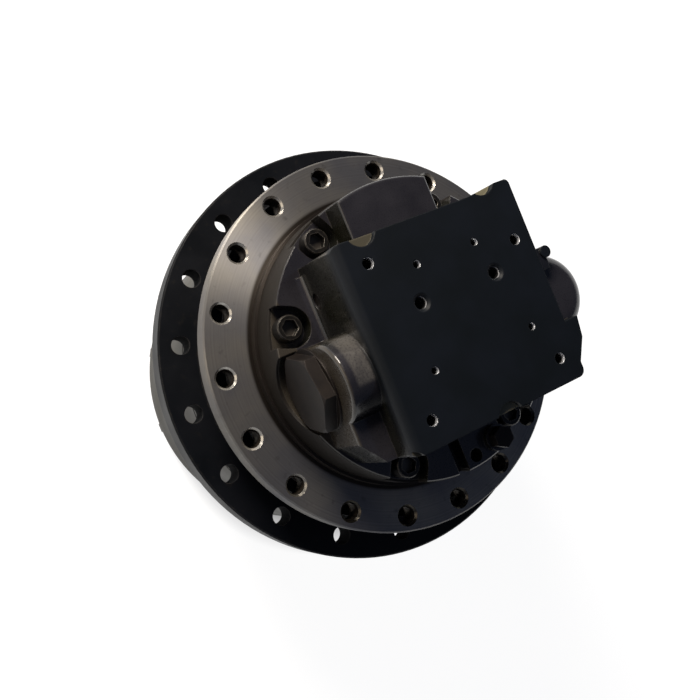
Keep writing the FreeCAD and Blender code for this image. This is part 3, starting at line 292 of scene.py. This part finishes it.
def glossy_casting_paint():
    """Black-brown enamel over a sand casting: wavy and pitted, glossy where it is thick.

    The milled end face took a thin satin coat and looks bluer. Bare metal shines in its tapped
    holes, dust lies tan in its edge notches, and oil has dulled the turned rim of the flange.
    """
    material, tree, here = new_tree("glossy_casting_paint")
    waves = noise(tree, here, 14, 2)
    grain = noise(tree, here, 1.8, 4)
    blotches = ramp(tree, noise(tree, here, 35), 0.35, 0.65)
    strokes = noise(tree, here, 3, 3, (1, 0.06, 1))
    radius, height = cylinder_coordinates(tree, here)
    parts = add(tree, "ShaderNodeSeparateXYZ", {"Vector": here}).outputs
    up = facing_up(tree)
    # the milled mask also darkens the tops of the block's walls, as painted shade
    milled = milled_face_and_wall_shade(tree, parts)
    bare = bare_hole_walls(tree, parts, up)
    rim = overlap(tree, band(tree, radius, COVER_FLANGE_R - 0.0025, COVER_FLANGE_R + 0.0015, 0.0003),
                  ramp(tree, height, COVER_FLANGE_TOP_Z - 0.0003, COVER_FLANGE_TOP_Z - 0.001))

    # painted light: the enamel is lighter and cooler where it faces up and darker olive on upright walls,
    # standing for light from above
    level = blend_colours(tree, blotches, linear("#1c1b1f"), linear("#252428"))
    upright = blend_colours(tree, blotches, linear("#12120d"), linear("#1a1a14"))
    tone = blend_colours(tree, ramp(tree, up, 0.2, 0.8), upright, level)
    # painted light: the face of the spool's pedestal is lighter, standing for the side light falling on it
    pedestal = ramp(tree, parts["Y"], PEDESTAL_FACE_Y - 0.0025, PEDESTAL_FACE_Y - 0.0008)
    tone = blend_colours(tree, pedestal, tone, linear("#332f29"))
    tone = blend_colours(tree, edge_mask(tree, 1.5, 0.05, 0.4), tone, linear("#322e28"))
    tone = blend_colours(tree, rim, tone, linear("#1a1714"))
    # the lighter crest is partly rubbed enamel and partly a painted highlight
    crest = crest_wear_and_highlight(tree, parts, combine(tree, "ADD", grain, waves))
    tone = blend_colours(tree, crest, tone, linear("#4d4b48"))
    face = blend_colours(tree, blotches, linear("#060b10"), linear("#0a0f16"))
    tone = blend_colours(tree, milled, tone, face)
    dust = blend_colours(tree, ramp(tree, parts["Y"], 0.02, -0.02), linear("#423f35"), linear("#6f6b58"))
    tone = blend_colours(tree, edge_notch_floors(tree, parts, up), tone, dust)
    tone = blend_colours(tree, bare, tone, linear("#d5d8dd"))

    dull = combine(tree, "MAXIMUM", milled, rim)
    cast = combine(tree, "SUBTRACT", 1.0, dull)
    normal = bump(tree, combine(tree, "MULTIPLY", waves, cast), 0.5, soft_edges(tree, 1.6))
    normal = bump(tree, combine(tree, "MULTIPLY", grain, cast), 0.06, normal)
    normal = bump(tree, strokes, 0.01, normal)
    roughness = ramp(tree, grain, 0.3, 0.7, 0.24, 0.36)
    roughness = combine(tree, "MAXIMUM", roughness, ramp(tree, dull, 0, 1, 0, 0.55))
    roughness = combine(tree, "SUBTRACT", roughness, ramp(tree, bare, 0, 1, 0, 0.25))
    return shade(material, tree, base_color=tone, metallic=combine(tree, "MULTIPLY", bare, 0.6),
                 roughness=roughness, specular_ior_level=0.2, coat_weight=ramp(tree, dull, 0, 1, 0.5, 0.0),
                 coat_roughness=0.12, normal=normal)


def black_oxide_steel():
    """Black-oxide screws: soft black with a little brown, polished at the edges; the socket's floor is
    lighter, a painted highlight.
    """
    material, tree, here = new_tree("black_oxide_steel")
    specks = noise(tree, here, 3, 4)
    tone = blend_colours(tree, ramp(tree, specks, 0.4, 0.7), linear("#171615"), linear("#262320"))
    tone = blend_colours(tree, edge_mask(tree, 1.2), tone, linear("#77726b"))
    height = add(tree, "ShaderNodeSeparateXYZ", {"Vector": here}).outputs["Z"]
    # painted highlight: the socket's floor is made lighter
    socket_floor_highlight = overlap(tree, band(tree, height, SOCKET_FLOOR_Z - 0.0005, SOCKET_FLOOR_Z + 0.0005, 0.0002),
                           ramp(tree, facing_up(tree), 0.9, 0.95))
    tone = blend_colours(tree, socket_floor_highlight, tone, linear("#4f4a44"))
    return shade(material, tree, base_color=tone, metallic=0.6, roughness=0.38, normal=soft_edges(tree, 0.5))


def oiled_plug_steel():
    """Turned steel plug under a film of old oil: warm brown-grey, satin."""
    material, tree, here = new_tree("oiled_plug_steel")
    blotches = noise(tree, here, 16, 4)
    tone = blend_colours(tree, ramp(tree, blotches, 0.35, 0.65), linear("#1e1916"), linear("#151110"))
    tone = blend_colours(tree, edge_mask(tree, 1.0), tone, linear("#332e2a"))
    return shade(material, tree, base_color=tone, metallic=0.4, roughness=0.46, specular_ior_level=0.25,
                 normal=soft_edges(tree, 0.8))


def ground_gear_steel():
    """Case-hardened and ground gear steel: cool grey, fine grinding grain along the axis."""
    material, tree, here = new_tree("ground_gear_steel")
    grain = noise(tree, here, 1.2, 3, (1, 1, 0.1))
    tone = blend_colours(tree, grain, linear("#8f9196"), linear("#77797e"))
    return shade(material, tree, base_color=tone, metallic=1.0, roughness=ramp(tree, grain, 0, 1, 0.25, 0.4),
                 normal=soft_edges(tree, 0.4))


def polished_bearing_steel():
    """Through-hardened bearing steel, superfinished: bright, with a faint straw stain of oil."""
    material, tree, here = new_tree("polished_bearing_steel")
    stain = noise(tree, here, 20)
    tone = blend_colours(tree, ramp(tree, stain, 0.4, 0.7), linear("#b9babd"), linear("#a9a594"))
    return shade(material, tree, base_color=tone, metallic=1.0, roughness=0.16, normal=soft_edges(tree, 0.4))


def as_cast_iron():
    """Grey iron cleaned by shot: matt mid grey with a coarse sand grain."""
    material, tree, here = new_tree("as_cast_iron")
    grain = noise(tree, here, 1.5, 5)
    blotches = noise(tree, here, 40)
    tone = blend_colours(tree, ramp(tree, blotches, 0.3, 0.7), linear("#4c4b49"), linear("#5c5a57"))
    normal = bump(tree, grain, 0.15, soft_edges(tree, 1.0))
    return shade(material, tree, base_color=tone, metallic=0.4, roughness=0.6, normal=normal)


def lapped_bronze():
    """Leaded bronze lapped flat: dull gold with darker oil stains."""
    material, tree, here = new_tree("lapped_bronze")
    stain = noise(tree, here, 12, 4)
    tone = blend_colours(tree, ramp(tree, stain, 0.4, 0.7), linear("#a9834c"), linear("#8a6a3c"))
    return shade(material, tree, base_color=tone, metallic=1.0, roughness=0.3, normal=soft_edges(tree, 0.4))


def nitrile_rubber():
    """Moulded nitrile: matt black with a grey bloom."""
    material, tree, here = new_tree("nitrile_rubber")
    bloom = noise(tree, here, 8, 4)
    tone = blend_colours(tree, ramp(tree, bloom, 0.5, 0.8), linear("#161616"), linear("#232323"))
    return shade(material, tree, base_color=tone, roughness=0.75, specular_ior_level=0.3,
                 normal=bump(tree, bloom, 0.05, soft_edges(tree, 0.4)))


FINISHES = {
    "flange_iron": turned_flange_iron(),
    "hub_iron": phosphated_hub_iron(),
    "cover_iron": glossy_casting_paint(),
    "black_steel": black_oxide_steel(),
    "plug_steel": oiled_plug_steel(),
    "gear_steel": ground_gear_steel(),
    "bearing_steel": polished_bearing_steel(),
    "inner_iron": as_cast_iron(),
    "bronze": lapped_bronze(),
    "rubber": nitrile_rubber(),
}


def finish_cad_nodes():
    """Gives each CAD node the finish of its slot in the record."""
    for part in frame["record"]["subparts"]:
        node = NODES[part["node"]]
        node.data.materials.clear()
        node.data.materials.append(FINISHES[part["material_slot"]])


# ---- Cut threads -----------------------------------------------------------------------------
def bright_cut_thread():
    """Cut iron thread: darkened in its depth as painted shade in the hole, with smears of oil, its first turn
    bright where no paint reached.
    """
    material, tree, here = new_tree("bright_cut_thread")
    smear = noise(tree, here, 4, 4)
    # painted shade: the thread is dark below its first turn, standing for the shade inside the hole
    deep = blend_colours(tree, ramp(tree, smear, 0.4, 0.65), linear("#3d3d3e"), linear("#232324"))
    height = add(tree, "ShaderNodeSeparateXYZ", {"Vector": here}).outputs["Z"]
    first_turn = ramp(tree, height, END_FACE_Z - 0.0045, END_FACE_Z - 0.0025)
    tone = blend_colours(tree, first_turn, deep, linear("#e6e8ec"))
    roughness = ramp(tree, smear, 0.3, 0.7, 0.2, 0.34)
    return shade(material, tree, base_color=tone, metallic=0.8, roughness=roughness)


def dark_cut_thread():
    """Thread in the frame flange: the same cut, nearly black."""
    material, tree, here = new_tree("dark_cut_thread")
    smear = noise(tree, here, 4, 4)
    tone = blend_colours(tree, ramp(tree, smear, 0.4, 0.65), linear("#4a443d"), linear("#1f1b18"))
    roughness = ramp(tree, smear, 0.3, 0.7, 0.3, 0.45)
    return shade(material, tree, base_color=tone, metallic=0.7, roughness=roughness)


def threaded_holes(name, places, thread_mm, span, finish):
    """Linings with an inner thread, one for each (x, y) place, over a span of heights.

    thread_mm gives the root's radius, the crest's radius and the pitch. The wall's radius at height z
    and angle a is root - (root - crest) * tri(z / pitch - a / full turn), where tri rises from 0 to 1
    and falls back in each turn. Faces point into the hole.
    """
    root, crest, pitch = (size * MM for size in thread_mm)
    low, high = span
    round_steps, rows_a_turn = 24, 4
    rows = math.ceil((high - low) / pitch * rows_a_turn) + 1
    angle = np.linspace(0, 2 * math.pi, round_steps, endpoint=False)
    z, a = np.meshgrid(np.linspace(low, high, rows), angle, indexing="ij")
    turn = np.mod(z / pitch - a / (2 * math.pi), 1.0)
    radius = root - (root - crest) * (1 - np.abs(2 * turn - 1))
    one = np.stack([radius * np.cos(a), radius * np.sin(a), z], -1).reshape(-1, 3)
    i, j = np.meshgrid(np.arange(rows - 1), np.arange(round_steps), indexing="ij")
    following = (j + 1) % round_steps
    quads = np.stack([i * round_steps + j, (i + 1) * round_steps + j,
                      (i + 1) * round_steps + following, i * round_steps + following], -1).reshape(-1, 4)
    shifts = np.array([(x, y, 0.0) for x, y in places])
    first_points = np.arange(len(places)) * len(one)
    points = (one[None, :, :] + shifts[:, None, :]).reshape(-1, 3)
    faces = (quads[None, :, :] + first_points[:, None, None]).reshape(-1, 4)
    mesh = bpy.data.meshes.new(name)
    mesh.from_pydata(points.tolist(), [], faces.tolist())
    mesh.polygons.foreach_set("use_smooth", np.ones(len(faces), dtype=bool))
    mesh.materials.append(finish)
    piece = bpy.data.objects.new(name, mesh)
    bpy.context.scene.collection.objects.link(piece)
    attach(piece, "frame_side")


def on_circle(count, radius, first_deg):
    """Places spread evenly on a circle about the drive's axis, the first one at an angle from +X."""
    angles = [math.radians(first_deg + 360 / count * k) for k in range(count)]
    return [(radius * math.cos(a), radius * math.sin(a)) for a in angles]


def mount_places(prefix):
    """The (x, y) of every mount whose name starts with a prefix."""
    return [mount["pos_m"][:2] for name, mount in MOUNTS.items() if name.startswith(prefix)]


def cut_threads():
    """M20, M12 and M8 threads and the ports' threads, drawn 0.4 to 0.6 mm deep in the CAD's tap holes.

    Each root lies 0.01 or 0.02 mm inside its hole's wall, so the two surfaces never share a place.
    """
    frame_holes = on_circle(FRAME_HOLES["count"], FRAME_HOLE_RING_R, FRAME_HOLE_FIRST_DEG)
    threaded_holes("frame_hole_threads", frame_holes, (8.74, 8.15, 2.5), (-0.0225, -0.0022),
                   dark_cut_thread())
    bright = bright_cut_thread()
    end_face_threads = (
        ("manifold_hole_threads", "end_face_tap", (5.08, 4.55, 1.75), 0.0235, 0.0012),
        ("gauge_hole_threads", "end_face_small_tap", (3.38, 2.95, 1.25), 0.0135, 0.0010),
        ("port_threads", "port", (5.48, 4.95, 1.5), 0.0255, 0.0035),
    )
    for name, prefix, thread_mm, bottom, top in end_face_threads:
        span = (END_FACE_Z - bottom, END_FACE_Z - top)
        threaded_holes(name, mount_places(prefix), thread_mm, span, bright)


# ---- Studio ---------------------------------------------------------------------------------
FLOOR_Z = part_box("end_cover")[0].z
CAMERA_PLACE = Vector((0.0274, 0.3975, 0.7716))
CAMERA_BACK = Vector((0.02536, 0.41464, 0.90962))
CAMERA_UP = Vector((0.92454, -0.35582, 0.13642))
LENS_MM = 44.44
# the shadow lies a little to the far side of the key
SHADOW_CENTRE = (-0.035, -0.035)


def camera():
    """The camera, high over the motor end on the spool plug's side."""
    lens = bpy.data.cameras.new("camera")
    lens.lens = LENS_MM
    lens.clip_start, lens.clip_end = 0.01, 50
    thing = bpy.data.objects.new("camera", lens)
    right = CAMERA_UP.cross(CAMERA_BACK)
    turn = Matrix((right, CAMERA_UP, CAMERA_BACK)).transposed().to_4x4()
    thing.matrix_world = Matrix.Translation(CAMERA_PLACE) @ turn
    bpy.context.scene.collection.objects.link(thing)
    bpy.context.scene.camera = thing


def softbox(name, direction, distance, size, watts, colour="#ffffff"):
    """A square lamp, so many metres wide, that faces the drive's origin from a direction."""
    lamp = bpy.data.lights.new(name, "AREA")
    lamp.size = size
    lamp.energy = watts
    lamp.color = linear(colour)[:3]
    thing = bpy.data.objects.new(name, lamp)
    away = Vector(direction).normalized()
    thing.location = away * distance
    thing.rotation_euler = away.to_track_quat("Z", "Y").to_euler()
    bpy.context.scene.collection.objects.link(thing)


def white_to_the_eye(tree, plain):
    """Shows white to camera, glossy and transmission rays and a plain shader to the rest.

    The white fades to a deep shadow right under the drive, where no light gets in.
    """
    here = add(tree, "ShaderNodeTexCoord").outputs["Object"]
    parts = add(tree, "ShaderNodeSeparateXYZ", {"Vector": here}).outputs
    across = add(tree, "ShaderNodeCombineXYZ", {
        "X": combine(tree, "SUBTRACT", parts["X"], SHADOW_CENTRE[0]),
        "Y": combine(tree, "SUBTRACT", parts["Y"], SHADOW_CENTRE[1])}).outputs[0]
    away = add(tree, "ShaderNodeVectorMath", {0: across}, operation="LENGTH").outputs["Value"]
    path = add(tree, "ShaderNodeLightPath").outputs
    seen = combine(tree, "MAXIMUM", path["Is Camera Ray"], path["Is Glossy Ray"])
    seen = combine(tree, "MAXIMUM", seen, path["Is Transmission Ray"])
    white = add(tree, "ShaderNodeEmission", {
        "Color": linear("#ffffff"), "Strength": ramp(tree, away, 0.155, 0.22, 0.03, 0.94)})
    both = add(tree, "ShaderNodeAddShader", {0: white.outputs[0], 1: plain})
    return add(tree, "ShaderNodeMixShader", {0: seen, 1: plain, 2: both.outputs[0]}).outputs[0]


def studio_floor():
    """A pale floor that curves up into a low wall all round: radius against height by a quarter circle."""
    floor_r, bend_r, wall_h, steps = 3.0, 1.0, 1.6, 64
    bend = np.linspace(0, math.pi / 2, 12)
    radii = np.concatenate([[0.001, 1.0, 2.0], floor_r + bend_r * np.sin(bend), [floor_r + bend_r]])
    heights = np.concatenate([[0, 0, 0], bend_r * (1 - np.cos(bend)), [wall_h]]) + FLOOR_Z
    around = np.linspace(0, 2 * math.pi, steps, endpoint=False)
    points = np.stack([np.outer(radii, np.cos(around)), np.outer(radii, np.sin(around)),
                       np.outer(heights, np.ones(steps))], -1).reshape(-1, 3)
    rows, columns = np.meshgrid(np.arange(len(radii) - 1), np.arange(steps), indexing="ij")
    following = (columns + 1) % steps
    quads = np.stack([rows * steps + columns, rows * steps + following,
                      (rows + 1) * steps + following, (rows + 1) * steps + columns], -1).reshape(-1, 4)
    mesh = bpy.data.meshes.new("studio_floor")
    mesh.from_pydata(points.tolist(), [], quads.tolist())
    floor = bpy.data.objects.new("studio_floor", mesh)
    bpy.context.scene.collection.objects.link(floor)
    material, tree, _ = new_tree("matt_white_floor")
    plain = add(tree, "ShaderNodeBsdfDiffuse", {"Color": linear("#7c7c7c")})
    add(tree, "ShaderNodeOutputMaterial", {"Surface": white_to_the_eye(tree, plain.outputs[0])})
    mesh.materials.append(material)


def world():
    """A dim cool room above the softboxes, white only where the camera sees past the floor."""
    room = bpy.data.worlds.new("room")
    room.use_nodes = True
    tree = room.node_tree
    tree.nodes.clear()
    seen = add(tree, "ShaderNodeLightPath").outputs["Is Camera Ray"]
    dim = add(tree, "ShaderNodeBackground", {"Color": linear("#93a3c8"), "Strength": 0.22})
    white = add(tree, "ShaderNodeBackground", {"Color": linear("#ffffff"), "Strength": 1.0})
    mixed = add(tree, "ShaderNodeMixShader", {0: seen, 1: dim.outputs[0], 2: white.outputs[0]})
    add(tree, "ShaderNodeOutputWorld", {"Surface": mixed.outputs[0]})
    bpy.context.scene.world = room


def studio():
    """Camera, room and floor, with a warm key low over the frame flange and a faint warm lamp at the side."""
    camera()
    world()
    studio_floor()
    softbox("key", (0.80, 0.20, 0.56), 1.8, 0.7, 60, "#fff4e6")
    softbox("side", (0.35, 0.95, 0.35), 2.0, 1.2, 8, "#ffecd2")
    bpy.context.scene.view_settings.view_transform = "Standard"


# ---- The whole -------------------------------------------------------------------------------
finish_cad_nodes()
cut_threads()
studio()
